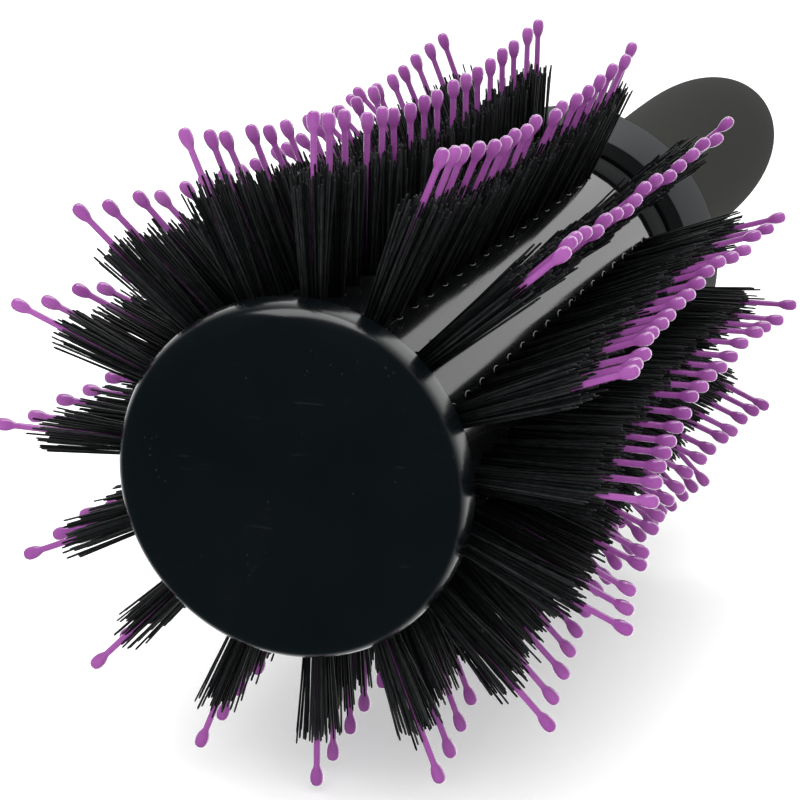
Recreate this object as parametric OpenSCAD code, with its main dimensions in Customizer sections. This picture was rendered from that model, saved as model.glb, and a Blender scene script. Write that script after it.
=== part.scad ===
// Round barrel brush for blow-drying hair. A drilled barrel carries sixteen rows of bristle tufts.
// Each tuft has one ball-tipped pin in its middle. An end cap closes the front of the barrel.
// Two rings and a collar join its rear to a soft handle, and one screw inside holds it all together.
// The brush's axis runs along +Y and +Z is up. The origin is the centre of the cap's flat face.

/* [Barrel] */
// Outer diameter of the barrel
barrel_d = 38.8; // [37:0.2:41]
// Length of the barrel between the end cap and the rear ring
barrel_l = 101; // [101:1:130]
// Diameter of the bore through the barrel
bore_d = 27; // [24:0.5:27]

/* [End cap] */
// Outer diameter of the end cap
cap_d = 44; // [42:0.5:48]
// Length of the end cap in front of the barrel
cap_l = 6.8; // [6:0.2:10]
// Radius of the rounded edge of the end cap
cap_round = 4; // [2:0.5:5]

/* [Bristles] */
// Tufts in each row
tufts_per_row = 17; // [10:1:17]
// Distance from one tuft to the next along a row
tuft_pitch = 5.7; // [5.5:0.1:5.7]
// Distance of the first tuft behind the end cap
first_tuft = 5.2; // [4:0.2:6]
// Diameter of a tuft hole in the barrel
hole_d = 3.1; // [2.8:0.1:3.2]
// Depth of a tuft hole below the surface of the barrel
hole_depth = 4.5; // [4:0.1:4.6]
// Distance of the bristle ends from the axis in the middle of a row
bristle_r = 32.5; // [28:0.5:34]
// How much further the bristle ends stand out at the front end of a row
bristle_rise = 3.5; // [0:0.5:4]
// How much further the bristle ends stand out at the rear end of a row
bristle_rise_rear = 1.5; // [0:0.5:4]
// Diameter over the fanned ends of one tuft
tuft_top_d = 5.2; // [4:0.1:5.3]

/* [Pins] */
// Diameter of a pin's shaft
pin_d = 0.85; // [0.7:0.05:1]
// Diameter of a pin's ball tip
ball_d = 1.75; // [1.6:0.05:2.4]
// Distance of the ball tips from the axis in the middle of a row
tip_mid_r = 37.4; // [36:0.2:40]
// How much further the ball tips stand out at the front end of a row
tip_rise = 5; // [0:0.5:6]
// How much further the ball tips stand out at the rear end of a row
tip_rise_rear = 3; // [0:0.5:6]

/* [Handle] */
// Outer diameter of the collar
collar_d = 48.6; // [47.6:0.2:52]
// Length of the collar
collar_l = 6.4; // [5.6:0.2:10]
// Diameter of the handle at its waist
waist_d = 25.2; // [25:0.2:28]
// Largest diameter of the handle near its end
bulb_d = 26.8; // [26:0.2:31]
// Length of the whole brush
total_l = 251; // [240:1:262]

/* [Hidden] */
$fn = 64;
rows = 16;
row_step = 360 / rows;
function two_digits(i) = i < 10 ? str("0", i) : str(i);
function tuft_row_name(i) = str("tuft_row_", two_digits(i));
function pin_row_name(i) = str("pin_row_", two_digits(i));

// Clearance between pieces that slide or press together
slip = 0.05;
barrel_r = barrel_d / 2;
bore_r = bore_d / 2;
hole_r = hole_d / 2;
barrel_y0 = cap_l;
barrel_y1 = barrel_y0 + barrel_l;

// End cap: a closed cup whose spigot plugs the bore
cap_r = cap_d / 2;
spigot_r = bore_r - slip;
spigot_l = 10;
spigot_wall = 2;
cap_face = 2.6;

// The web inside the barrel, and the screw that clamps it to the handle core
web_y = barrel_y0 + 43;
web_l = 5;
screw_r = 2;
screw_l = 26;
screw_head_r = 3.8;
screw_head_l = 2.6;
washer_r = 5.5;
washer_l = 1;
socket_across = 2.9;

// Tuft holes, their anchors, tufts and pins, measured outwards from the axis
floor_r = barrel_r - hole_depth;
anchor_w = hole_d - 0.3;
anchor_t = 0.5;
anchor_h = 1.2;
root_r = floor_r + anchor_h + 0.1;
tuft_root_r = hole_r - 0.1;
pin_hole_r = pin_d / 2 + 0.15;
neck_l = 1.5;
row_mid = barrel_y0 + first_tuft + tuft_pitch * (tufts_per_row - 1) / 2;
row_half = tuft_pitch * (tufts_per_row - 1) / 2;
function tuft_y(j) = barrel_y0 + first_tuft + tuft_pitch * j;
function hollow_curve(y) = pow((y - row_mid) / row_half, 2);
function tip_r(y) = tip_mid_r + (y < row_mid ? tip_rise : tip_rise_rear) * hollow_curve(y);
function tuft_r(y) =
    bristle_r + (y < row_mid ? bristle_rise : bristle_rise_rear) * hollow_curve(y);

// Rear ring, spacer ring and collar, one behind the other on the handle core's tang
tang_r = bore_r - slip;
ring_l = 5.6;
ring_front_r = barrel_r + 0.15;
ring_r = barrel_r + 0.8;
hub_y = barrel_y1 + ring_l;
groove_r = ring_r - 2.2;
groove_y = hub_y + 0.9;
spacer_front_r = ring_r + 0.3;
spacer_r = barrel_r + 2.1;
spacer_y1 = hub_y + 4.6;
collar_r = collar_d / 2;
collar_y0 = spacer_y1 + slip;
collar_y1 = collar_y0 + collar_l;
collar_web = 3;
shoulder_y = spacer_y1 + collar_web;

// Handle: a hard core inside a soft grip
waist_r = waist_d / 2;
bulb_r = bulb_d / 2;
bell_r = collar_r - 0.1;
bell_y = collar_y1 + 0.1;
bell_l = 30;
bulb_y = total_l - 43;
end_l = total_l - bulb_y;
grip_wall = 3.6;
core_end = total_l - 18;
tang_y = web_y + web_l + 0.1;
tang_front = 24;
tang_hollow_r = 10;
stem_hollow_r = 5.2;
core_plug_r = collar_r - 3.8;

// A smooth step from 0 to 1
function ease(t) = t <= 0 ? 0 : t >= 1 ? 1 : t * t * (3 - 2 * t);
// The grip's radius: a trumpet bell, a waist, a slow swell and a rounded end
function bell_part(y) = (bell_r - waist_r) * pow(max(0, 1 - (y - bell_y) / bell_l), 2.2);
function swell(y) = (bulb_r - waist_r) * ease((y - bell_y - bell_l) / (bulb_y - bell_y - bell_l));
function round_end(y) = y <= bulb_y ? 1 : pow(max(0, 1 - pow((y - bulb_y) / end_l, 2.3)), 1 / 2.3);
function grip_r(y) = (waist_r + bell_part(y) + swell(y)) * round_end(y);
function core_r(y) = grip_r(y) - grip_wall;
// Steps along the handle that lie closer together near its end
bell_steps = [for (k = [0 : 10]) bell_y + bell_l * k / 10];
swell_steps = [for (k = [1 : 6]) bell_y + bell_l + (bulb_y - bell_y - bell_l) * k / 6];
end_steps = [for (k = [1 : 14]) bulb_y + end_l * sin(90 * k / 15)];
grip_steps = concat(bell_steps, swell_steps, end_steps);

// Stands a shape turned about Z along the brush's axis
module along_y() {
    rotate([-90, 0, 0]) children();
}

// Turns a profile of [radius, distance along the axis] points about the brush's axis
module turned(profile) {
    along_y() rotate_extrude() polygon(profile);
}

// A plain rod on the axis, from y0 to y1
module rod(r, y0, y1) {
    translate([0, y0, 0]) along_y() cylinder(r = r, h = y1 - y0);
}

// Puts a shape that points along +X at every tuft of row i
module at_tufts(i) {
    rotate([0, -row_step * (i - 1), 0])
        for (j = [0 : tufts_per_row - 1]) {
            translate([0, tuft_y(j), 0]) children();
        }
}

// A round peg that points along +X, from x0 to x1
module peg(x0, x1, r0, r1) {
    translate([x0, 0, 0]) rotate([0, 90, 0]) cylinder(r1 = r0, r2 = r1, h = x1 - x0, $fn = 24);
}

// Gloss cap: flat face, rounded edge and short skirt, with a hollow spigot behind
module end_cap() {
    edge = [for (a = [0 : 10 : 90])
        [cap_r - cap_round + cap_round * sin(a), cap_round - cap_round * cos(a)]];
    rear = [[cap_r, cap_l - slip], [spigot_r, cap_l - slip], [spigot_r, cap_l + spigot_l]];
    cup = [
        [spigot_r - spigot_wall, cap_l + spigot_l],
        [spigot_r - spigot_wall, cap_face],
        [0, cap_face]
    ];
    color([0.02, 0.02, 0.025]) turned(concat([[0, 0]], edge, rear, cup));
}

// Moulded barrel: a thick tube with a web across it and a blind hole for each tuft
module barrel() {
    color([0.03, 0.03, 0.035]) difference() {
        rod(barrel_r, barrel_y0, barrel_y1);
        rod(bore_r, barrel_y0 - 1, web_y);
        rod(bore_r, web_y + web_l, barrel_y1 + 1);
        rod(screw_r + 0.2, web_y - 1, web_y + web_l + 1);
        for (i = [1 : rows]) at_tufts(i) peg(floor_r, barrel_r + 1, hole_r, hole_r);
    }
}

// Flat wire anchors at the bottoms of the tuft holes
module tuft_anchors() {
    color([0.75, 0.75, 0.78]) for (i = [1 : rows]) at_tufts(i)
        translate([floor_r + anchor_h / 2, 0, 0]) cube([anchor_h, anchor_t, anchor_w], center = true);
}

// One nylon tuft that points along +X: a plug in its hole and a fan above it, round its pin
module tuft(top) {
    difference() {
        union() {
            peg(root_r, barrel_r + 0.1, tuft_root_r, tuft_root_r);
            peg(barrel_r + 0.1, top, tuft_root_r, tuft_top_d / 2);
        }
        peg(root_r - 1, top + 1, pin_hole_r, pin_hole_r);
    }
}

// One row of tufts, longer towards both ends of the barrel
module tuft_row(i) {
    color([0.06, 0.055, 0.06]) rotate([0, -row_step * (i - 1), 0])
        for (j = [0 : tufts_per_row - 1]) {
            translate([0, tuft_y(j), 0]) tuft(tuft_r(tuft_y(j)));
        }
}

// One ball-tipped pin that points along +X
module pin(tip) {
    peg(root_r, tip, pin_d / 2, pin_d / 2);
    peg(tip - neck_l - ball_d / 4, tip - ball_d / 4, pin_d / 2, ball_d * 0.43);
    translate([tip, 0, 0]) sphere(d = ball_d, $fn = 24);
}

// One row of ball-tipped pins, longer towards both ends of the barrel
module pin_row(i) {
    color([0.62, 0.25, 0.62]) rotate([0, -row_step * (i - 1), 0])
        for (j = [0 : tufts_per_row - 1]) {
            translate([0, tuft_y(j), 0]) pin(tip_r(tuft_y(j)));
        }
}

// Screw with a round head and a hexagon socket, driven from the front through the web
module tie_screw() {
    head_y = web_y - washer_l - slip;
    color([0.6, 0.6, 0.62]) difference() {
        union() {
            rod(screw_head_r, head_y - screw_head_l, head_y);
            rod(screw_r, head_y - slip, head_y + screw_l);
        }
        translate([0, head_y - screw_head_l - 1, 0])
            along_y() cylinder(d = socket_across, h = screw_head_l, $fn = 6);
    }
}

// Flat washer under the head of the screw
module screw_washer() {
    color([0.7, 0.7, 0.72]) difference() {
        rod(washer_r, web_y - washer_l, web_y);
        rod(screw_r + 0.2, web_y - washer_l - 1, web_y + 1);
    }
}

// Satin ring behind the barrel, a little wider at its rear
module rear_ring() {
    color([0.05, 0.05, 0.055]) turned([
        [tang_r + slip, barrel_y1 + slip],
        [ring_front_r, barrel_y1 + slip],
        [ring_r - 0.05, hub_y - 0.6],
        [ring_r - 0.2, hub_y - 0.1],
        [ring_r - 0.4, hub_y],
        [tang_r + slip, hub_y]
    ]);
}

// Black ring that widens towards the collar, with a groove in front of it
module spacer_ring() {
    color([0.035, 0.035, 0.04]) turned([
        [tang_r + slip, hub_y + slip],
        [groove_r, hub_y + slip],
        [groove_r, groove_y],
        [spacer_front_r - 0.3, groove_y],
        [spacer_front_r, groove_y + 0.3],
        [spacer_r, spacer_y1],
        [tang_r + slip, spacer_y1]
    ]);
}

// Collar: a cone that widens to the grip, clamped against the core's shoulder
module collar() {
    front = [
        [tang_r + slip, collar_y0],
        [spacer_r - 0.15, collar_y0],
        [spacer_r + 0.05, collar_y0 + 0.2]
    ];
    rear = [
        [collar_r - 0.1, collar_y1 - 0.6],
        [collar_r, collar_y1 - 0.3],
        [collar_r - 0.1, collar_y1 - 0.1],
        [collar_r - 0.3, collar_y1],
        [core_plug_r + slip, collar_y1],
        [core_plug_r + slip, shoulder_y],
        [tang_r + slip, shoulder_y]
    ];
    color([0.11, 0.115, 0.12]) turned(concat(front, rear));
}

// Hard handle core: a tang in the barrel, a shoulder behind the collar and a hollow stem
module handle_core() {
    inside = [for (y = grip_steps) if (y > bell_y + 4 && y < core_end - 3) [core_r(y), y]];
    outer = concat(
        [[tang_r - 1, tang_y], [tang_r, tang_y + 1], [tang_r, shoulder_y + slip]],
        [[core_plug_r, shoulder_y + slip], [core_plug_r, bell_y]],
        [[core_r(bell_y) - 0.2, bell_y + 1]],
        inside,
        [[core_r(core_end - 3), core_end - 3], [core_r(core_end - 3) - 2, core_end]]
    );
    bore = [
        [stem_hollow_r, core_end],
        [stem_hollow_r, bell_y + 10],
        [tang_hollow_r, bell_y + 5],
        [tang_hollow_r, tang_y + tang_front],
        [0, tang_y + tang_front],
        [0, tang_y]
    ];
    color([0.16, 0.16, 0.17]) difference() {
        turned(concat(outer, bore));
        rod(screw_r + slip, tang_y - 1, tang_y + tang_front - 3);
    }
}

// Soft grip moulded over the core, closed at its rounded end
module handle_grip() {
    skin = [for (y = grip_steps) [grip_r(y), y]];
    lining = [for (k = [len(grip_steps) - 1 : -1 : 0])
        let (y = grip_steps[k])
        if (y > bell_y + 4 && y < core_end - 3) [core_r(y) + slip, y]];
    inner = concat(
        [[0, core_end + slip], [core_r(core_end - 3) - 2 + slip, core_end + slip]],
        [[core_r(core_end - 3) + slip, core_end - 3]],
        lining,
        [[core_r(bell_y) - 0.2 + slip, bell_y + 1 + slip], [core_plug_r, bell_y + slip]]
    );
    color([0.115, 0.112, 0.105]) turned(concat([[bell_r, bell_y + slip]],
        [for (k = [1 : len(skin) - 1]) skin[k]], [[0, total_l]], inner));
}

end_cap();
barrel();
tuft_anchors();
tie_screw();
screw_washer();
rear_ring();
spacer_ring();
collar();
handle_core();
handle_grip();
for (i = [1 : rows]) tuft_row(i);
for (i = [1 : rows]) pin_row(i);
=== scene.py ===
import math
import random

import bpy
import numpy as np
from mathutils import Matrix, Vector


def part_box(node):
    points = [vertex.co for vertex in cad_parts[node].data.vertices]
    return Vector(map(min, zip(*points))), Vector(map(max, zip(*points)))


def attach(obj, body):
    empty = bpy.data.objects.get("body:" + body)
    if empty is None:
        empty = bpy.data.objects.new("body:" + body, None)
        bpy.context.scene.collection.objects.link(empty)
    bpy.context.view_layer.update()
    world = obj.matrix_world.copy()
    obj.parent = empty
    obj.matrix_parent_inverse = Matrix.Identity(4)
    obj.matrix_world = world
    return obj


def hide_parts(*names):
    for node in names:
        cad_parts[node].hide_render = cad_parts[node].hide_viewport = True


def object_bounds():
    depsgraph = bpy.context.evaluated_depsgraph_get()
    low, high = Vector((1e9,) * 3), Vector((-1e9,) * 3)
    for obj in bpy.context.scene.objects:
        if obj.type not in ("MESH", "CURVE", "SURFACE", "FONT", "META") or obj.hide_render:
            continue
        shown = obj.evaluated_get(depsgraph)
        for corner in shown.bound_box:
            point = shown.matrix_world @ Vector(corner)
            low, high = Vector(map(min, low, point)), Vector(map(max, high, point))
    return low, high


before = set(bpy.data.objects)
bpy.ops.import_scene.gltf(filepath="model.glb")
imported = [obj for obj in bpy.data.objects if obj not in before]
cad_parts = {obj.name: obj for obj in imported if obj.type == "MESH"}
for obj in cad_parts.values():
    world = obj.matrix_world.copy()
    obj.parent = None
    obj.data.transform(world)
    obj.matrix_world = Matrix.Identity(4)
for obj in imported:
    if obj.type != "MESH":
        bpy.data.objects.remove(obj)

cad_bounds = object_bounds()
mm = 0.001


# ---------------------------------------------------------------- camera
# A long lens close in front of the end cap, a little above it and to its right, so the
# barrel and the handle run away from the lens towards the upper right.
camera_data = bpy.data.cameras.new("camera")
camera_data.lens = 112.5
camera_data.sensor_width = 36.0
camera_data.clip_start = 0.01
camera = bpy.data.objects.new("camera", camera_data)
camera.location = Vector((105.5, -255.4, 95.3)) * mm
camera.rotation_euler = (math.radians(90 - 16.95), 0, math.radians(19.51))
bpy.context.scene.collection.objects.link(camera)
bpy.context.scene.camera = camera


# ---------------------------------------------------------------- studio
# A plain white table under the brush and a light tent, bright behind the brush and dark at
# the front, where the camera stands, so that gloss black stays black.
def deselect_all():
    bpy.ops.object.select_all(action="DESELECT")


deselect_all()
table_z = cad_bounds[0][2] - 0.7 * mm
bpy.ops.mesh.primitive_plane_add(size=12.0, location=(0, 0, table_z))
table = bpy.context.object
table.name = "table"
table_paint = bpy.data.materials.new("white_table")
table_paint.use_nodes = True
table_shader = table_paint.node_tree.nodes["Principled BSDF"]
table_shader.inputs["Base Color"].default_value = (0.9, 0.9, 0.9, 1)
table_shader.inputs["Roughness"].default_value = 0.9
table_shader.inputs["Specular IOR Level"].default_value = 0.0
table_shader.inputs["Emission Color"].default_value = (1, 1, 1, 1)
table_shader.inputs["Emission Strength"].default_value = 0.25
table.data.materials.append(table_paint)
table.visible_glossy = False

world = bpy.data.worlds.new("light_tent")
bpy.context.scene.world = world
world.use_nodes = True
tent = world.node_tree
tent.nodes.clear()
tent_out = tent.nodes.new("ShaderNodeOutputWorld")
tent_path = tent.nodes.new("ShaderNodeLightPath")
tent_plain = tent.nodes.new("ShaderNodeBackground")
tent_plain.inputs["Color"].default_value = (1, 1, 1, 1)
tent_plain.inputs["Strength"].default_value = 1.0
tent_walls = tent.nodes.new("ShaderNodeBackground")
tent_walls.inputs["Strength"].default_value = 1.55
tent_mix = tent.nodes.new("ShaderNodeMixShader")
tent_coord = tent.nodes.new("ShaderNodeTexCoord")
tent_split = tent.nodes.new("ShaderNodeSeparateXYZ")
tent_ramp = tent.nodes.new("ShaderNodeValToRGB")
tent_ramp.color_ramp.elements[0].position = 0.2
tent_ramp.color_ramp.elements[0].color = (0.02, 0.03, 0.034, 1)
tent_ramp.color_ramp.elements[1].position = 0.86
tent_ramp.color_ramp.elements[1].color = (0.95, 0.96, 0.95, 1)
tent_ramp.color_ramp.interpolation = "EASE"
tent.links.new(tent_coord.outputs["Generated"], tent_split.inputs[0])
tent.links.new(tent_split.outputs["Y"], tent_ramp.inputs["Fac"])
tent.links.new(tent_ramp.outputs["Color"], tent_walls.inputs["Color"])
tent.links.new(tent_path.outputs["Is Glossy Ray"], tent_mix.inputs["Fac"])
tent.links.new(tent_plain.outputs[0], tent_mix.inputs[1])
tent.links.new(tent_walls.outputs[0], tent_mix.inputs[2])
tent.links.new(tent_mix.outputs[0], tent_out.inputs["Surface"])


def soft_box(name, place, aim, width, depth, watts, glossy=True):
    """A flat soft light at place, facing aim, in metres."""
    data = bpy.data.lights.new(name, "AREA")
    data.shape = "RECTANGLE"
    data.size = width
    data.size_y = depth
    data.energy = watts
    light = bpy.data.objects.new(name, data)
    light.location = place
    light.rotation_euler = (Vector(aim) - Vector(place)).to_track_quat("-Z", "Y").to_euler()
    light.visible_glossy = glossy
    bpy.context.scene.collection.objects.link(light)
    return light


middle = Vector((0, 0.09, 0))
soft_box("top_box", (-0.1, 0.2, 0.75), middle, 0.8, 0.3, 2.8)
soft_box("front_fill", (0.35, -0.9, 0.7), middle, 1.2, 1.2, 7.0, glossy=False)
soft_box("left_fill", (-0.9, -0.1, 0.5), middle, 1.0, 1.0, 3.0, glossy=False)
bpy.context.scene.view_settings.view_transform = "Standard"


# ---------------------------------------------------------------- end cap
# An injection-moulded gloss black cap: a flat face with a round edge and a short skirt that
# stands out over the barrel. A hollow spigot behind it is pressed into the barrel's bore.
def arc(centre_r, centre_y, radius, start, end, steps):
    """Points on a round corner of an outline, in degrees from the outward radius."""
    points = []
    for k in range(steps + 1):
        turn_by = math.radians(start + (end - start) * k / steps)
        points.append((centre_r + radius * math.cos(turn_by), centre_y + radius * math.sin(turn_by)))
    return points


def turned(name, outline, steps=128, crease=32):
    """A solid of revolution: an outline of (radius, y) points spun about the brush's axis."""
    deselect_all()
    bpy.ops.mesh.primitive_plane_add(size=mm)
    piece = bpy.context.object
    piece.name = name
    piece.data.name = name
    bpy.ops.object.mode_set(mode="EDIT")
    bpy.ops.mesh.select_mode(type="VERT")
    bpy.ops.mesh.select_all(action="SELECT")
    bpy.ops.mesh.merge(type="CENTER")
    bpy.ops.transform.translate(value=(outline[0][0], outline[0][1], 0))
    for here, there in zip(outline, outline[1:]):
        step = (there[0] - here[0], there[1] - here[1], 0)
        bpy.ops.mesh.extrude_region_move(TRANSFORM_OT_translate={"value": step})
    bpy.ops.mesh.select_all(action="SELECT")
    bpy.ops.mesh.spin(steps=steps, angle=2 * math.pi, center=(0, 0, 0), axis=(0, 1, 0))
    bpy.ops.mesh.select_all(action="SELECT")
    bpy.ops.mesh.remove_doubles(threshold=0.002 * mm)
    bpy.ops.mesh.select_all(action="SELECT")
    bpy.ops.mesh.delete_loose()
    bpy.ops.mesh.select_all(action="SELECT")
    bpy.ops.mesh.normals_make_consistent(inside=False)
    bpy.ops.object.mode_set(mode="OBJECT")
    bpy.ops.object.transform_apply(location=True, rotation=True, scale=True)
    bpy.ops.object.shade_smooth_by_angle(angle=math.radians(crease))
    return piece


def new_material(name):
    """A node material and its main shader."""
    material = bpy.data.materials.new(name)
    material.use_nodes = True
    return material, material.node_tree, material.node_tree.nodes["Principled BSDF"]


def new_group(name, inputs, outputs):
    """A shader node group: {socket: default} inputs and colour or value outputs."""
    group = bpy.data.node_groups.new(name, "ShaderNodeTree")
    for socket, value in inputs.items():
        made = group.interface.new_socket(socket, in_out="INPUT", socket_type="NodeSocketFloat")
        made.default_value = value
    for socket in outputs:
        group.interface.new_socket(socket, in_out="OUTPUT", socket_type="NodeSocketFloat")
    entry = group.nodes.new("NodeGroupInput")
    leave = group.nodes.new("NodeGroupOutput")
    return group, entry, leave


def math_node(tree, operation, first, second):
    """A Math node whose two inputs are numbers or sockets."""
    node = tree.nodes.new("ShaderNodeMath")
    node.operation = operation
    for slot, value in enumerate((first, second)):
        if isinstance(value, (int, float)):
            node.inputs[slot].default_value = value
        else:
            tree.links.new(value, node.inputs[slot])
    return node.outputs[0]


def spread(tree, value, low, high, to_low, to_high):
    """A Map Range node from low..high to to_low..to_high, held inside them."""
    node = tree.nodes.new("ShaderNodeMapRange")
    node.inputs["From Min"].default_value = low
    node.inputs["From Max"].default_value = high
    node.inputs["To Min"].default_value = to_low
    node.inputs["To Max"].default_value = to_high
    tree.links.new(value, node.inputs["Value"])
    return node.outputs["Result"]


def noise(tree, vector, scale, detail=3.0, rough=0.5):
    """A 3-D noise value. The scale may be a number or a socket."""
    node = tree.nodes.new("ShaderNodeTexNoise")
    node.inputs["Detail"].default_value = detail
    node.inputs["Roughness"].default_value = rough
    tree.links.new(vector, node.inputs["Vector"])
    if isinstance(scale, (int, float)):
        node.inputs["Scale"].default_value = scale
    else:
        tree.links.new(scale, node.inputs["Scale"])
    return node.outputs["Fac"]


def stretched(tree, vector, amounts, turn_by=(0, 0, 0)):
    """Coordinates stretched by three amounts after a turn in degrees."""
    node = tree.nodes.new("ShaderNodeMapping")
    node.inputs["Rotation"].default_value = [math.radians(a) for a in turn_by]
    node.inputs["Scale"].default_value = amounts
    tree.links.new(vector, node.inputs["Vector"])
    return node.outputs["Vector"]


def build_hairlines():
    """Fine handling marks: thin broken lines in two directions, as a 0 to 1 mask."""
    group, entry, leave = new_group("hairlines", {"Amount": 0.5}, ["Mask"])
    coord = group.nodes.new("ShaderNodeTexCoord").outputs["Object"]
    lines = []
    for turn_by, long_way in (((0, 0, 25), (160, 6000, 1800)), ((35, 10, -40), (5200, 220, 2400))):
        thin = noise(group, stretched(group, coord, long_way, turn_by), 1.0, 2.0)
        broken = noise(group, coord, 240.0, 2.0)
        line = spread(group, thin, 0.66, 0.72, 0.0, 1.0)
        lines.append(math_node(group, "MULTIPLY", line, spread(group, broken, 0.5, 0.62, 0.0, 1.0)))
    both = math_node(group, "MAXIMUM", lines[0], lines[1])
    scaled = math_node(group, "MULTIPLY", both, entry.outputs["Amount"])
    group.links.new(scaled, leave.inputs["Mask"])
    return group


def build_specks():
    """Fine dust: small round specks thinned out by a broad noise, as a 0 to 1 mask."""
    group, entry, leave = new_group("specks", {"Scale": 900.0, "Amount": 0.5}, ["Mask"])
    coord = group.nodes.new("ShaderNodeTexCoord").outputs["Object"]
    cells = group.nodes.new("ShaderNodeTexVoronoi")
    group.links.new(coord, cells.inputs["Vector"])
    group.links.new(entry.outputs["Scale"], cells.inputs["Scale"])
    dots = spread(group, cells.outputs["Distance"], 0.06, 0.16, 1.0, 0.0)
    places = spread(group, noise(group, coord, 160.0, 3.0), 0.5, 0.66, 0.0, 1.0)
    both = math_node(group, "MULTIPLY", dots, places)
    group.links.new(math_node(group, "MULTIPLY", both, entry.outputs["Amount"]), leave.inputs["Mask"])
    return group


def place_group(tree, group, **values):
    """Puts a node group in a material with its own values."""
    node = tree.nodes.new("ShaderNodeGroup")
    node.node_tree = group
    for socket, value in values.items():
        node.inputs[socket].default_value = value
    return node.outputs[0]


def mix_colour(tree, factor, first, second):
    """One colour over another by a varying mask."""
    node = tree.nodes.new("ShaderNodeMix")
    node.data_type = "RGBA"
    tree.links.new(factor, node.inputs["Factor"])
    for slot, value in (("A", first), ("B", second)):
        socket = [s for s in node.inputs if s.name == slot and s.type == "RGBA"][0]
        if isinstance(value, tuple):
            socket.default_value = (*value, 1)
        else:
            tree.links.new(value, socket)
    return [s for s in node.outputs if s.type == "RGBA"][0]


def add_bump(tree, shader, height, distance, strength=1.0):
    """Relief on the shader's normal."""
    node = tree.nodes.new("ShaderNodeBump")
    node.inputs["Strength"].default_value = strength
    node.inputs["Distance"].default_value = distance
    tree.links.new(height, node.inputs["Height"])
    tree.links.new(node.outputs["Normal"], shader.inputs["Normal"])


hairlines = build_hairlines()
specks = build_specks()


def gloss_black(name, colour, haze, roughness, line_amount, speck_amount):
    """Polished black moulding: faint flow clouding, hairlines and specks of dust."""
    material, tree, shader = new_material(name)
    coord = tree.nodes.new("ShaderNodeTexCoord").outputs["Object"]
    lines = place_group(tree, hairlines, Amount=line_amount)
    dust = place_group(tree, specks, Scale=1100.0, Amount=speck_amount)
    cloud = noise(tree, coord, 55.0, 4.0)
    base = mix_colour(tree, spread(tree, cloud, 0.35, 0.7, 0.0, 1.0), colour, haze)
    dusty = mix_colour(tree, dust, base, (0.16, 0.17, 0.175))
    tree.links.new(mix_colour(tree, lines, dusty, (0.07, 0.072, 0.075)), shader.inputs["Base Color"])
    smear = spread(tree, cloud, 0.3, 0.75, roughness - 0.03, roughness + 0.05)
    marked = math_node(tree, "MULTIPLY_ADD", lines, 0.25)
    tree.links.new(smear, marked.node.inputs[2])
    tree.links.new(marked, shader.inputs["Roughness"])
    ripple = noise(tree, coord, 38.0, 1.0)
    sunk = math_node(tree, "MULTIPLY", lines, -0.06)
    height = math_node(tree, "MULTIPLY_ADD", ripple, 0.5)
    tree.links.new(sunk, height.node.inputs[2])
    add_bump(tree, shader, height, 0.05 * mm, 0.5)
    shader.inputs["IOR"].default_value = 1.5
    return material


cap_low, cap_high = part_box("end_cap")
barrel_low, barrel_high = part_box("barrel")
cap_r = cap_high.x
cap_back = barrel_low.y - 0.05 * mm
cap_round = 4.0 * mm
lip_round = 0.35 * mm
spigot_r = 13.45 * mm
spigot_bore = 11.45 * mm
cap_floor = 2.6 * mm
cap_outline = [(0, cap_low.y)]
cap_outline += arc(cap_r - cap_round, cap_low.y + cap_round, cap_round, -90, 0, 14)
cap_outline += arc(cap_r - lip_round, cap_back - lip_round, lip_round, 0, 90, 4)
cap_outline += [(spigot_r, cap_back), (spigot_r, cap_high.y - 0.8 * mm)]
cap_outline += [(spigot_r - 0.5 * mm, cap_high.y), (spigot_bore, cap_high.y)]
cap_outline += [(spigot_bore, cap_floor + 1.0 * mm), (spigot_bore - 1.0 * mm, cap_floor), (0, cap_floor)]
cap = turned("end_cap_moulding", cap_outline, steps=144)
cap_gloss = gloss_black(
    "cap_gloss_black",
    colour=(0.0014, 0.0024, 0.003),
    haze=(0.0022, 0.0034, 0.0041),
    roughness=0.17,
    line_amount=0.07,
    speck_amount=0.1,
)
cap.data.materials.append(cap_gloss)
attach(cap, "root")
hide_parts("end_cap")


# ---------------------------------------------------------------- barrel
# A thick gloss black tube moulded in one piece, with a web across it for the screw. Sixteen
# rows of blind holes take the tufts. Each hole has a small turned-over rim.
rows = 16
tufts = 17
row_low, row_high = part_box("tuft_row_01")
tuft_top_r = (row_high.z - row_low.z) / 2
first_tuft = row_low.y + tuft_top_r
pitch = (row_high.y - row_low.y - 2 * tuft_top_r) / (tufts - 1)
barrel_r = barrel_high.x
bore_r = 13.5 * mm
hole_r = 1.55 * mm
hole_depth = 4.5 * mm
web_front = barrel_low.y + 43 * mm
web_back = web_front + 5 * mm
web_hole = 2.2 * mm
cell_arc = 2 * math.pi * barrel_r / rows


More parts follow.
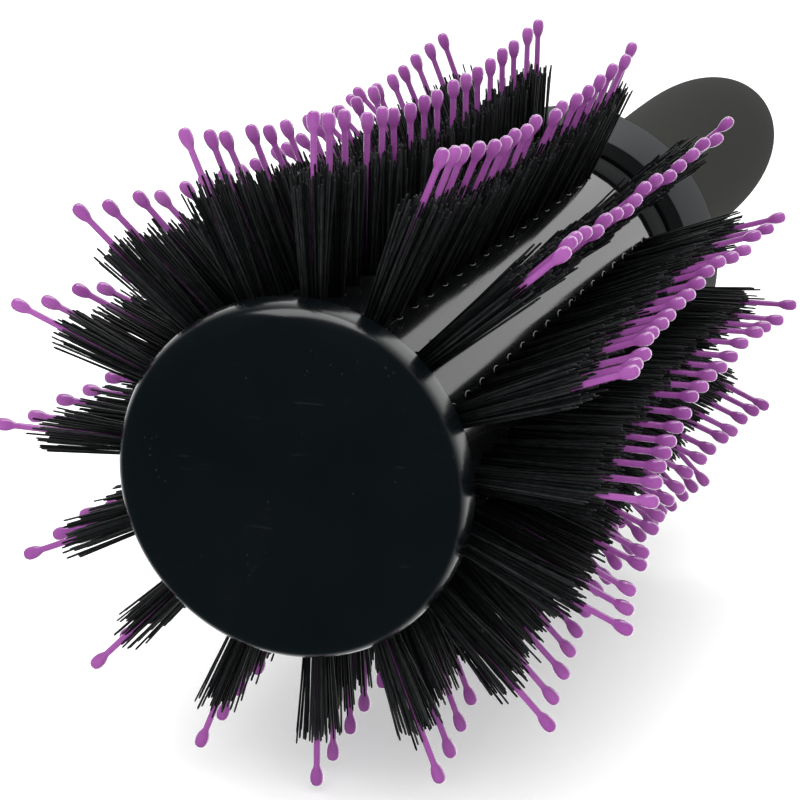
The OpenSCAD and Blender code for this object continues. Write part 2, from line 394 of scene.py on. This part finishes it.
def barrel_tile():
    """One flat tile of the barrel's wall with a tuft hole in its middle, its surface at z 0."""
    deselect_all()
    spokes = 16
    spoke_angle = 2 * math.pi / spokes
    bpy.ops.mesh.primitive_circle_add(vertices=spokes, radius=hole_r, fill_type="NGON")
    tile = bpy.context.object
    tile.name = "barrel_moulding"
    tile.data.name = "barrel_moulding"
    bpy.ops.object.mode_set(mode="EDIT")
    bpy.ops.mesh.select_mode(type="FACE")
    bpy.ops.mesh.select_all(action="SELECT")
    bpy.ops.transform.translate(value=(0, 0, -hole_depth))
    bpy.ops.mesh.extrude_region_move(TRANSFORM_OT_translate={"value": (0, 0, hole_depth - 0.1 * mm)})
    reach = hole_r
    for wider, higher in ((0.05, 0.17), (0.1, 0.02), (0.1, -0.09)):
        grow = (reach + wider * mm) / reach
        reach += wider * mm
        bpy.ops.mesh.extrude_region_move(TRANSFORM_OT_translate={"value": (0, 0, higher * mm)})
        bpy.ops.transform.resize(value=(grow, grow, 1))
    for part in (0.5, 1.0):
        bpy.ops.mesh.extrude_region_move(TRANSFORM_OT_translate={"value": (0, 0, 0)})
        bpy.ops.object.mode_set(mode="OBJECT")
        for v in tile.data.vertices:
            if v.select:
                spoke = round(math.atan2(v.co.y, v.co.x) / spoke_angle) * spoke_angle
                far = max(abs(math.cos(spoke)), abs(math.sin(spoke)))
                edge = Vector((math.cos(spoke) / far * cell_arc / 2, math.sin(spoke) / far * pitch / 2))
                v.co.xy = v.co.xy.lerp(edge, part)
                v.co.z = 0
        bpy.ops.object.mode_set(mode="EDIT")
    bpy.ops.mesh.delete(type="ONLY_FACE")
    bpy.ops.object.mode_set(mode="OBJECT")
    return tile


def repeat(piece, count, offset):
    """Copies a mesh in a line and joins the copies where they touch."""
    copies = piece.modifiers.new("repeat", "ARRAY")
    copies.count = count
    copies.use_relative_offset = False
    copies.use_constant_offset = True
    copies.constant_offset_displace = offset
    copies.use_merge_vertices = True
    copies.merge_threshold = 0.002 * mm
    bpy.ops.object.modifier_apply(modifier="repeat")


def select_ring(piece, y):
    """Selects the ring of vertices at one distance along the brush."""
    bpy.ops.object.mode_set(mode="EDIT")
    bpy.ops.mesh.select_mode(type="VERT")
    bpy.ops.mesh.select_all(action="DESELECT")
    bpy.ops.object.mode_set(mode="OBJECT")
    for v in piece.data.vertices:
        v.select = abs(v.co.y - y) < 0.005 * mm
    bpy.ops.object.mode_set(mode="EDIT")


def draw_out(steps, radius, y):
    """Extrudes the selected ring through a list of (radius, y) places."""
    for next_radius, next_y in steps:
        bpy.ops.mesh.extrude_region_move(TRANSFORM_OT_translate={"value": (0, next_y - y, 0)})
        grow = next_radius / radius
        bpy.ops.transform.resize(value=(grow, 1, grow), center_override=(0, next_y, 0))
        radius, y = next_radius, next_y


barrel = barrel_tile()
repeat(barrel, rows, (cell_arc, 0, 0))
repeat(barrel, tufts, (0, pitch, 0))
for v in barrel.data.vertices:
    out = barrel_r + v.co.z
    around = v.co.x / barrel_r
    v.co = (out * math.cos(around), first_tuft + v.co.y, out * math.sin(around))
tiles_front = first_tuft - pitch / 2
tiles_back = first_tuft + (tufts - 0.5) * pitch
bpy.ops.object.mode_set(mode="EDIT")
bpy.ops.mesh.select_all(action="SELECT")
bpy.ops.mesh.remove_doubles(threshold=0.002 * mm)
select_ring(barrel, tiles_back)
draw_out([(barrel_r, barrel_high.y - 0.3 * mm), (barrel_r - 0.3 * mm, barrel_high.y)], barrel_r, tiles_back)
select_ring(barrel, tiles_front)
draw_out(
    [
        (barrel_r, barrel_low.y),
        (bore_r, barrel_low.y),
        (bore_r, web_front),
        (web_hole, web_front),
        (web_hole, web_back),
        (bore_r, web_back),
        (bore_r, barrel_high.y),
        (barrel_r - 0.3 * mm, barrel_high.y),
    ],
    barrel_r,
    tiles_front,
)
bpy.ops.mesh.select_all(action="SELECT")
bpy.ops.mesh.remove_doubles(threshold=0.002 * mm)
bpy.ops.mesh.normals_make_consistent(inside=False)
bpy.ops.object.mode_set(mode="OBJECT")
bpy.ops.object.transform_apply(location=True, rotation=True, scale=True)
bpy.ops.object.shade_smooth_by_angle(angle=math.radians(40))
round_normals = []
for v in barrel.data.vertices:
    out = Vector((v.co.x, 0, v.co.z))
    on_skin = abs(out.length - barrel_r) < 0.001 * mm and v.co.y < barrel_high.y - 0.5 * mm
    round_normals.append(out.normalized() if on_skin else Vector((0, 0, 0)))
barrel.data.normals_split_custom_set_from_vertices(round_normals)
barrel_gloss = gloss_black(
    "barrel_gloss_black",
    colour=(0.003, 0.0034, 0.0038),
    haze=(0.005, 0.0053, 0.0056),
    roughness=0.11,
    line_amount=0.8,
    speck_amount=0.45,
)
barrel.data.materials.append(barrel_gloss)
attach(barrel, "root")
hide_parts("barrel")


# ---------------------------------------------------------------- tufts
# Straight black nylon filaments, trimmed by hand, so their ends are uneven. Forty-seven are
# folded over an anchor in each hole. They stand in rings round the pin and fan out.
random.seed(4177)
filament_r = 0.14 * mm
tuft_root_r = barrel_r - 1.2 * mm
# For each ring: its number of filaments, its radius in mm and how far it fans out
tuft_rings = [(14, 0.64, 0.008), (15, 0.94, 0.07), (18, 1.25, 0.14)]
tuft_flatness = 0.5
ring_jitter = 0.22
spot_spread = (0.96, 1.04)
fan_spread = (0.85, 1.15)
thick_spread = (0.88, 1.1)
cut_mean = -0.2
cut_spread = 0.75
tuft_end_mid = 32.3 * mm
tuft_end_rise = 3.5 * mm
tuft_end_rise_rear = 1.5 * mm
row_middle = first_tuft + pitch * (tufts - 1) / 2
row_half = pitch * (tufts - 1) / 2
leans = [[(random.gauss(0, 0.009), random.gauss(0, 0.014)) for _ in range(tufts)] for _ in range(rows)]


def hollow_curve(y):
    """0 in the middle of a row and 1 at both of its ends."""
    return ((y - row_middle) / row_half) ** 2


def end_lean(y):
    """How far a tuft leans along the brush: outwards at the front, hardly at the rear."""
    along = (y - row_middle) / row_half
    return (0.035 if along < 0 else 0.01) * along**3


def side_lean(index, y):
    """The second and third rows are pressed over towards the first, more so at the rear."""
    along = (y - row_middle) / row_half
    return -0.07 - 0.025 * along if index in (1, 2) else 0.0


def one_filament():
    """A thin rod one unit long in two lengths, with a worn end."""
    deselect_all()
    bpy.ops.mesh.primitive_circle_add(vertices=5, radius=filament_r, fill_type="NGON")
    rod = bpy.context.object
    bpy.ops.object.mode_set(mode="EDIT")
    bpy.ops.mesh.select_mode(type="FACE")
    bpy.ops.mesh.select_all(action="SELECT")
    for reach in (0.5, 0.485):
        bpy.ops.mesh.extrude_region_move(TRANSFORM_OT_translate={"value": (0, 0, reach)})
    bpy.ops.mesh.extrude_region_move(TRANSFORM_OT_translate={"value": (0, 0, 0.015)})
    bpy.ops.transform.resize(value=(0.7, 0.7, 1))
    bpy.ops.mesh.select_all(action="SELECT")
    bpy.ops.mesh.normals_make_consistent(inside=False)
    bpy.ops.object.mode_set(mode="OBJECT")
    return rod


def mesh_arrays(piece):
    """A mesh's points as an array and its faces as lists, for copying."""
    points = np.array([v.co[:] for v in piece.data.vertices])
    return points, [list(p.vertices) for p in piece.data.polygons]


def row_piece(name, faces, places, marks):
    """Many bent copies of one modelled mesh as one piece, each with its own shade number."""
    mesh = bpy.data.meshes.new(name)
    count = len(places[0])
    all_faces = [[i + k * count for i in face] for k in range(len(places)) for face in faces]
    mesh.from_pydata(np.concatenate(places).tolist(), [], all_faces)
    shade = mesh.attributes.new("shade", "FLOAT", "POINT")
    shade.data.foreach_set("value", np.repeat(np.array(marks, np.float32), count))
    mesh.update()
    mesh.shade_smooth()
    piece = bpy.data.objects.new(name, mesh)
    bpy.context.scene.collection.objects.link(piece)
    return piece


def row_directions(index):
    """The outward, sideways and lengthwise directions of one row."""
    turn_by = 2 * math.pi * index / rows
    outward = np.array([math.cos(turn_by), 0, math.sin(turn_by)])
    around = np.array([-math.sin(turn_by), 0, math.cos(turn_by)])
    return outward, around, np.array([0.0, 1.0, 0.0])


def unit(vector):
    return vector / np.linalg.norm(vector)


def any_side(way):
    """A random direction square to a rod's own."""
    return unit(np.cross(way, unit(np.array([random.gauss(0, 1) for _ in range(3)]))))


def bent_copy(points, root, way, side, bow, length, thick):
    """The model rod's points, set at root, pointing along way and bowed towards side."""
    along = points[:, 2:3]
    across = np.cross(way, side)
    middle_line = root + along * length * way + (along**2) * bow * side
    return middle_line + thick * (points[:, 0:1] * side + points[:, 1:2] * across)


rod_model = one_filament()
rod_points, rod_faces = mesh_arrays(rod_model)
bpy.data.objects.remove(rod_model)


def build_tuft_row(index):
    """All the filaments of one row, fanned out from their holes."""
    outward, around, forward = row_directions(index)
    places, marks = [], []
    for j in range(tufts):
        y = first_tuft + pitch * j
        lean_y, lean_a = leans[index][j]
        lean_y += end_lean(y)
        lean_a += side_lean(index, y)
        rise = tuft_end_rise if y < row_middle else tuft_end_rise_rear
        end_r = tuft_end_mid + rise * hollow_curve(y)
        for count, ring_r, fan in tuft_rings:
            start = random.uniform(0, 2 * math.pi)
            for k in range(count):
                angle = start + 2 * math.pi * (k + random.uniform(-ring_jitter, ring_jitter)) / count
                spot = ring_r * mm * random.uniform(*spot_spread)
                part_y, part_a = math.cos(angle), math.sin(angle)
                root = tuft_root_r * outward + (y + spot * part_y) * forward + spot * part_a * around
                off_y = lean_y + fan * part_y * random.uniform(*fan_spread) + random.gauss(0, 0.006)
                off_a = lean_a + fan * tuft_flatness * part_a * random.uniform(*fan_spread)
                way = unit(outward + off_y * forward + off_a * around)
                length = end_r + random.gauss(cut_mean, cut_spread) * mm - tuft_root_r
                bow = random.gauss(0, 0.13) * mm
                thick = random.uniform(*thick_spread)
                places.append(bent_copy(rod_points, root, way, any_side(way), bow, length, thick))
                marks.append(random.random())
    return row_piece(f"tufts_{index + 1:02d}", rod_faces, places, marks)


def nylon_black():
    """Drawn black nylon: each filament a little different, scuffed along its length."""
    material, tree, shader = new_material("tuft_black_nylon")
    shade = tree.nodes.new("ShaderNodeAttribute")
    shade.attribute_name = "shade"
    coord = tree.nodes.new("ShaderNodeTexCoord").outputs["Object"]
    scuff = noise(tree, coord, 900.0, 2.0)
    tone = math_node(tree, "MULTIPLY", shade.outputs["Fac"], scuff)
    worn = spread(tree, tone, 0.1, 0.6, 0.0, 1.0)
    fresh = (0.003, 0.0034, 0.0037)
    scuffed = (0.024, 0.026, 0.027)
    tree.links.new(mix_colour(tree, worn, fresh, scuffed), shader.inputs["Base Color"])
    tree.links.new(spread(tree, scuff, 0.3, 0.7, 0.34, 0.46), shader.inputs["Roughness"])
    shader.inputs["Specular IOR Level"].default_value = 0.2
    return material


tuft_finish = nylon_black()
for index in range(rows):
    tuft_row = build_tuft_row(index)
    tuft_row.data.materials.append(tuft_finish)
    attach(tuft_row, "root")
    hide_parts(f"tuft_row_{index + 1:02d}")


# ---------------------------------------------------------------- ball-tipped pins
# Orchid nylon pins, moulded with an egg-shaped tip so that they don't scratch. One stands in
# the middle of each tuft, held by the same anchor, and leans as its tuft does.
pin_r = 0.43 * mm
pin_root_r = 16.2 * mm
tip_mid = 37.4 * mm
tip_rise = 5.0 * mm
tip_rise_rear = 3.0 * mm


def one_pin():
    """A pin at its length in the middle of a row, with the middle of its tip at z 0."""
    deselect_all()
    shaft = tip_mid - pin_root_r
    bpy.ops.mesh.primitive_circle_add(vertices=10, radius=pin_r, fill_type="NGON", location=(0, 0, -shaft))
    pin = bpy.context.object
    bpy.ops.object.mode_set(mode="EDIT")
    bpy.ops.mesh.select_mode(type="FACE")
    bpy.ops.mesh.select_all(action="SELECT")
    radius, height = pin_r, -shaft
    rings = [
        (0.43, -9.0),
        (0.42, -1.8),
        (0.5, -1.5),
        (0.69, -1.12),
        (0.82, -0.66),
        (0.875, -0.12),
        (0.83, 0.36),
        (0.66, 0.72),
        (0.35, 0.94),
    ]
    for wide, high in rings:
        grow = wide * mm / radius
        bpy.ops.mesh.extrude_region_move(TRANSFORM_OT_translate={"value": (0, 0, high * mm - height)})
        bpy.ops.transform.resize(value=(grow, grow, 1), center_override=(0, 0, high * mm))
        radius, height = wide * mm, high * mm
    bpy.ops.mesh.select_all(action="SELECT")
    bpy.ops.mesh.normals_make_consistent(inside=False)
    bpy.ops.object.mode_set(mode="OBJECT")
    bpy.ops.object.transform_apply(location=True, rotation=True, scale=True)
    return pin


pin_model = one_pin()
pin_points, pin_faces = mesh_arrays(pin_model)
bpy.data.objects.remove(pin_model)


def build_pin_row(index):
    """The pins of one row. Only the shaft is longer or shorter, so every tip keeps its size."""
    outward, around, forward = row_directions(index)
    places, marks = [], []
    model_length = tip_mid - pin_root_r
    for j in range(tufts):
        y = first_tuft + pitch * j
        lean_y, lean_a = leans[index][j]
        lean_y += end_lean(y)
        lean_a += side_lean(index, y)
        way = unit(outward + lean_y * forward + lean_a * around)
        rise = tip_rise if y < row_middle else tip_rise_rear
        length = tip_mid + rise * hollow_curve(y) + random.gauss(-0.4, 0.15) * mm - pin_root_r
        pin = pin_points.copy()
        high = pin[:, 2]
        pin[:, 2] = np.where(high > -4 * mm, 1 + high / length, 1 + high / model_length)
        root = pin_root_r * outward + y * forward
        bow = random.gauss(0, 0.12) * mm
        places.append(bent_copy(pin, root, way, any_side(way), bow, length, 1.0))
        marks.append(random.random())
    return row_piece(f"pins_{index + 1:02d}", pin_faces, places, marks)


def orchid_nylon():
    """Orchid nylon, a little cloudy, each pin moulded in a slightly different shade."""
    material, tree, shader = new_material("pin_orchid_nylon")
    shade = tree.nodes.new("ShaderNodeAttribute")
    shade.attribute_name = "shade"
    coord = tree.nodes.new("ShaderNodeTexCoord").outputs["Object"]
    cloud = noise(tree, coord, 420.0, 2.0)
    tone = math_node(tree, "ADD", shade.outputs["Fac"], cloud)
    deep = (0.25, 0.058, 0.26)
    pale = (0.32, 0.088, 0.33)
    colour = mix_colour(tree, spread(tree, tone, 0.4, 1.6, 0.0, 1.0), deep, pale)
    tree.links.new(colour, shader.inputs["Base Color"])
    tree.links.new(spread(tree, cloud, 0.3, 0.7, 0.16, 0.26), shader.inputs["Roughness"])
    add_bump(tree, shader, noise(tree, coord, 1500.0, 2.0), 0.02 * mm, 0.4)
    shader.inputs["Subsurface Weight"].default_value = 0.15
    shader.inputs["Subsurface Radius"].default_value = (1.0, 0.4, 1.0)
    shader.inputs["Subsurface Scale"].default_value = 0.0006
    shader.inputs["Coat Weight"].default_value = 1.0
    shader.inputs["Coat Roughness"].default_value = 0.08
    return material


pin_finish = orchid_nylon()
for index in range(rows):
    pin_row = build_pin_row(index)
    pin_row.data.materials.append(pin_finish)
    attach(pin_row, "root")
    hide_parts(f"pin_row_{index + 1:02d}")


# ---------------------------------------------------------------- tuft anchors
# Bits of flat drawn wire, one in each hole. A staple is driven over the folded filaments and
# the pin's root, and bites into the walls at the bottom of the hole.
def drawn_steel(name, colour, roughness):
    """Drawn or rolled steel: fine lines along the wire and a little tarnish."""
    material, tree, shader = new_material(name)
    coord = tree.nodes.new("ShaderNodeTexCoord").outputs["Object"]
    lines = noise(tree, stretched(tree, coord, (3000, 300, 3000)), 1.0, 2.0)
    tarnish = noise(tree, coord, 300.0, 3.0)
    dull = tuple(part * 0.7 for part in colour)
    patches = spread(tree, tarnish, 0.4, 0.7, 0.0, 1.0)
    tree.links.new(mix_colour(tree, patches, colour, dull), shader.inputs["Base Color"])
    drawn = spread(tree, lines, 0.3, 0.7, roughness - 0.06, roughness + 0.08)
    tree.links.new(drawn, shader.inputs["Roughness"])
    add_bump(tree, shader, lines, 0.01 * mm, 0.5)
    shader.inputs["Metallic"].default_value = 1.0
    return material


def finish_cad_node(node, material):
    """Gives a CAD node that keeps its shape its own finish."""
    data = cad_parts[node].data
    data.materials.clear()
    data.materials.append(material)


finish_cad_node("tuft_anchors", drawn_steel("anchor_drawn_wire", (0.6, 0.6, 0.62), 0.35))


# ---------------------------------------------------------------- rear ring
# A satin black moulded ring behind the barrel, slipped over the core's tang. It is a little
# wider at its rear, with a rounded edge.
def build_moulded_grain():
    """The fine spark-eroded texture of a moulded surface, as a height and a tone."""
    group, entry, leave = new_group("moulded_grain", {"Scale": 2600.0}, ["Height", "Tone"])
    coord = group.nodes.new("ShaderNodeTexCoord").outputs["Object"]
    fine = noise(group, coord, entry.outputs["Scale"], 2.0, 0.6)
    coarse_scale = math_node(group, "MULTIPLY", entry.outputs["Scale"], 0.3)
    coarse = noise(group, coord, coarse_scale, 2.0)
    both = math_node(group, "MULTIPLY_ADD", coarse, 0.5)
    group.links.new(fine, both.node.inputs[2])
    group.links.new(both, leave.inputs["Height"])
    group.links.new(noise(group, coord, 70.0, 4.0), leave.inputs["Tone"])
    return group


moulded_grain = build_moulded_grain()


def satin_moulding(name, colour, haze, roughness, scale, depth, speck_amount, shine=0.5):
    """Grained plastic or soft-touch coating with faint clouding and a little dust."""
    material, tree, shader = new_material(name)
    grain = tree.nodes.new("ShaderNodeGroup")
    grain.node_tree = moulded_grain
    grain.inputs["Scale"].default_value = scale
    dust = place_group(tree, specks, Scale=1400.0, Amount=speck_amount)
    tone = spread(tree, grain.outputs["Tone"], 0.35, 0.68, 0.0, 1.0)
    base = mix_colour(tree, tone, colour, haze)
    lint = tuple(min(1.0, part + 0.16) for part in haze)
    tree.links.new(mix_colour(tree, dust, base, lint), shader.inputs["Base Color"])
    uneven = spread(tree, grain.outputs["Tone"], 0.3, 0.7, roughness - 0.05, roughness + 0.05)
    tree.links.new(uneven, shader.inputs["Roughness"])
    add_bump(tree, shader, grain.outputs["Height"], depth, 0.7)
    shader.inputs["Specular IOR Level"].default_value = shine
    return material


ring_low, ring_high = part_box("rear_ring")
tang_hole_r = 13.5 * mm
ring_r = ring_high.x
ring_outline = [(tang_hole_r, ring_low.y)]
ring_outline += arc(barrel_r - 0.1 * mm, ring_low.y + 0.25 * mm, 0.25 * mm, -90, 0, 3)
ring_outline += [(ring_r - 0.25 * mm, (ring_low.y + ring_high.y) / 2)]
ring_outline += arc(ring_r - 0.5 * mm, ring_high.y - 0.5 * mm, 0.5 * mm, 5, 90, 6)
ring_outline += [(tang_hole_r, ring_high.y), (tang_hole_r, ring_low.y)]
rear_ring = turned("rear_ring_moulding", ring_outline)
ring_satin = satin_moulding(
    "ring_satin_black",
    colour=(0.0052, 0.0056, 0.0062),
    haze=(0.0072, 0.0078, 0.0086),
    roughness=0.42,
    scale=2600.0,
    depth=0.01 * mm,
    speck_amount=0.12,
    shine=0.02,
)
rear_ring.data.materials.append(ring_satin)
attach(rear_ring, "root")
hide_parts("rear_ring")


# ---------------------------------------------------------------- spacer ring
# A black moulded ring that widens towards the collar. A deep narrow groove in front of it
# shows as a dark line behind the rear ring.
spacer_low, spacer_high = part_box("spacer_ring")
spacer_r = spacer_high.x
spacer_front_r = ring_r + 0.3 * mm
groove_r = ring_r - 2.2 * mm
groove_y = spacer_low.y + 0.85 * mm
spacer_outline = [(tang_hole_r, spacer_low.y), (groove_r, spacer_low.y), (groove_r, groove_y)]
spacer_outline += arc(spacer_front_r - 0.35 * mm, groove_y + 0.35 * mm, 0.35 * mm, -90, -15, 5)
spacer_outline += [((spacer_front_r + spacer_r) / 2 - 0.05 * mm, (groove_y + spacer_high.y) / 2 + 0.1 * mm)]
spacer_outline += arc(spacer_r - 0.2 * mm, spacer_high.y - 0.2 * mm, 0.2 * mm, 0, 90, 3)
spacer_outline += [(tang_hole_r, spacer_high.y), (tang_hole_r, spacer_low.y)]
spacer_ring = turned("spacer_ring_moulding", spacer_outline)
spacer_black = satin_moulding(
    "spacer_black",
    colour=(0.0018, 0.002, 0.0024),
    haze=(0.0028, 0.0031, 0.0036),
    roughness=0.5,
    scale=2200.0,
    depth=0.012 * mm,
    speck_amount=0.1,
    shine=0.02,
)
spacer_ring.data.materials.append(spacer_black)
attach(spacer_ring, "root")
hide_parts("spacer_ring")


# ---------------------------------------------------------------- collar
# The charcoal collar at the front of the handle: a short moulded cone that widens to the
# grip. Its web is clamped between the spacer ring and the core's shoulder.
collar_low, collar_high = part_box("collar")
collar_r = collar_high.x
collar_front_r = spacer_r + 0.05 * mm
shoulder_y = spacer_high.y + 3 * mm
skirt_r = collar_r - 3.75 * mm
collar_outline = [(tang_hole_r, collar_low.y)]
collar_outline += arc(collar_front_r - 0.2 * mm, collar_low.y + 0.2 * mm, 0.2 * mm, -90, -20, 3)
collar_outline += arc(collar_r - 0.35 * mm, collar_high.y - 0.35 * mm, 0.35 * mm, -20, 90, 7)
collar_outline += [(skirt_r, collar_high.y), (skirt_r, shoulder_y), (tang_hole_r, shoulder_y)]
collar_outline += [(tang_hole_r, collar_low.y)]
collar = turned("collar_moulding", collar_outline, steps=144)
collar_charcoal = satin_moulding(
    "collar_charcoal",
    colour=(0.028, 0.03, 0.0315),
    haze=(0.033, 0.035, 0.037),
    roughness=0.5,
    scale=2400.0,
    depth=0.012 * mm,
    speck_amount=0.2,
    shine=0.3,
)
collar.data.materials.append(collar_charcoal)
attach(collar, "root")
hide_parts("collar")


# ---------------------------------------------------------------- handle core
# The hard moulded core: a hollow tang that fits in the barrel, a shoulder behind the collar
# and a hollow stem. The soft grip hides all of it.
core_grey = satin_moulding(
    "core_dark_grey",
    colour=(0.04, 0.04, 0.042),
    haze=(0.05, 0.05, 0.052),
    roughness=0.5,
    scale=1800.0,
    depth=0.015 * mm,
    speck_amount=0.2,
)
finish_cad_node("handle_core", core_grey)


# ---------------------------------------------------------------- tie screw and washer
# A zinc-plated screw with a hexagon socket, and a flat washer. The screw clamps the barrel's
# web to the core's tang and is put in before the end cap.
zinc = drawn_steel("screw_zinc", (0.58, 0.58, 0.6), 0.3)
finish_cad_node("tie_screw", zinc)
finish_cad_node("screw_washer", zinc)


# ---------------------------------------------------------------- grip
# A soft-touch rubbery shell moulded over the core. A trumpet bell meets the collar, a waist
# fits finger and thumb, and the end swells and is rounded.
grip_low, grip_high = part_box("handle_grip")
bell_r = grip_high.x
bell_y = grip_low.y
bell_l = 30 * mm
waist_r = 12.6 * mm
bulb_r = 13.4 * mm
bulb_y = grip_high.y - 43 * mm
grip_wall = 3.6 * mm
core_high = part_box("handle_core")[1]


def grip_radius(y):
    """The grip's outer radius at a distance along the brush."""
    bell = (bell_r - waist_r) * max(0.0, 1 - (y - bell_y) / bell_l) ** 2.2
    part = min(1.0, max(0.0, (y - bell_y - bell_l) / (bulb_y - bell_y - bell_l)))
    swell = (bulb_r - waist_r) * part * part * (3 - 2 * part)
    if y <= bulb_y:
        return waist_r + bell + swell
    past = min(1.0, (y - bulb_y) / (grip_high.y - bulb_y))
    return (waist_r + bell + swell) * (1 - past**2.3) ** (1 / 2.3)


grip_steps = [bell_y + bell_l * k / 20 for k in range(1, 21)]
grip_steps += [bell_y + bell_l + (bulb_y - bell_y - bell_l) * k / 14 for k in range(1, 15)]
grip_steps += [bulb_y + (grip_high.y - bulb_y) * math.sin(math.radians(90 * k / 24)) for k in range(1, 24)]
grip_outline = arc(bell_r - 0.4 * mm, bell_y + 0.4 * mm, 0.4 * mm, -90, 0, 4)
grip_outline += [(grip_radius(y), y) for y in grip_steps]
grip_outline += [(0, grip_high.y), (0, core_high.y + 0.1 * mm)]
lining_steps = [y for y in reversed(grip_steps) if bell_y + 5 * mm < y < core_high.y - 3 * mm]
grip_outline += [(grip_radius(y) - grip_wall + 0.1 * mm, y) for y in lining_steps]
grip_outline += [(skirt_r, bell_y), (bell_r - 0.4 * mm, bell_y)]
grip = turned("grip_soft_shell", grip_outline, steps=144, crease=50)
grip_soft = satin_moulding(
    "grip_soft_touch",
    colour=(0.026, 0.0258, 0.0238),
    haze=(0.03, 0.0297, 0.0272),
    roughness=0.7,
    scale=3200.0,
    depth=0.012 * mm,
    speck_amount=0.15,
    shine=0.02,
)
grip.data.materials.append(grip_soft)
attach(grip, "root")
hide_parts("handle_grip")


# ---------------------------------------------------------------- update
# The view layer is brought up to date once everything is built.
bpy.context.view_layer.update()
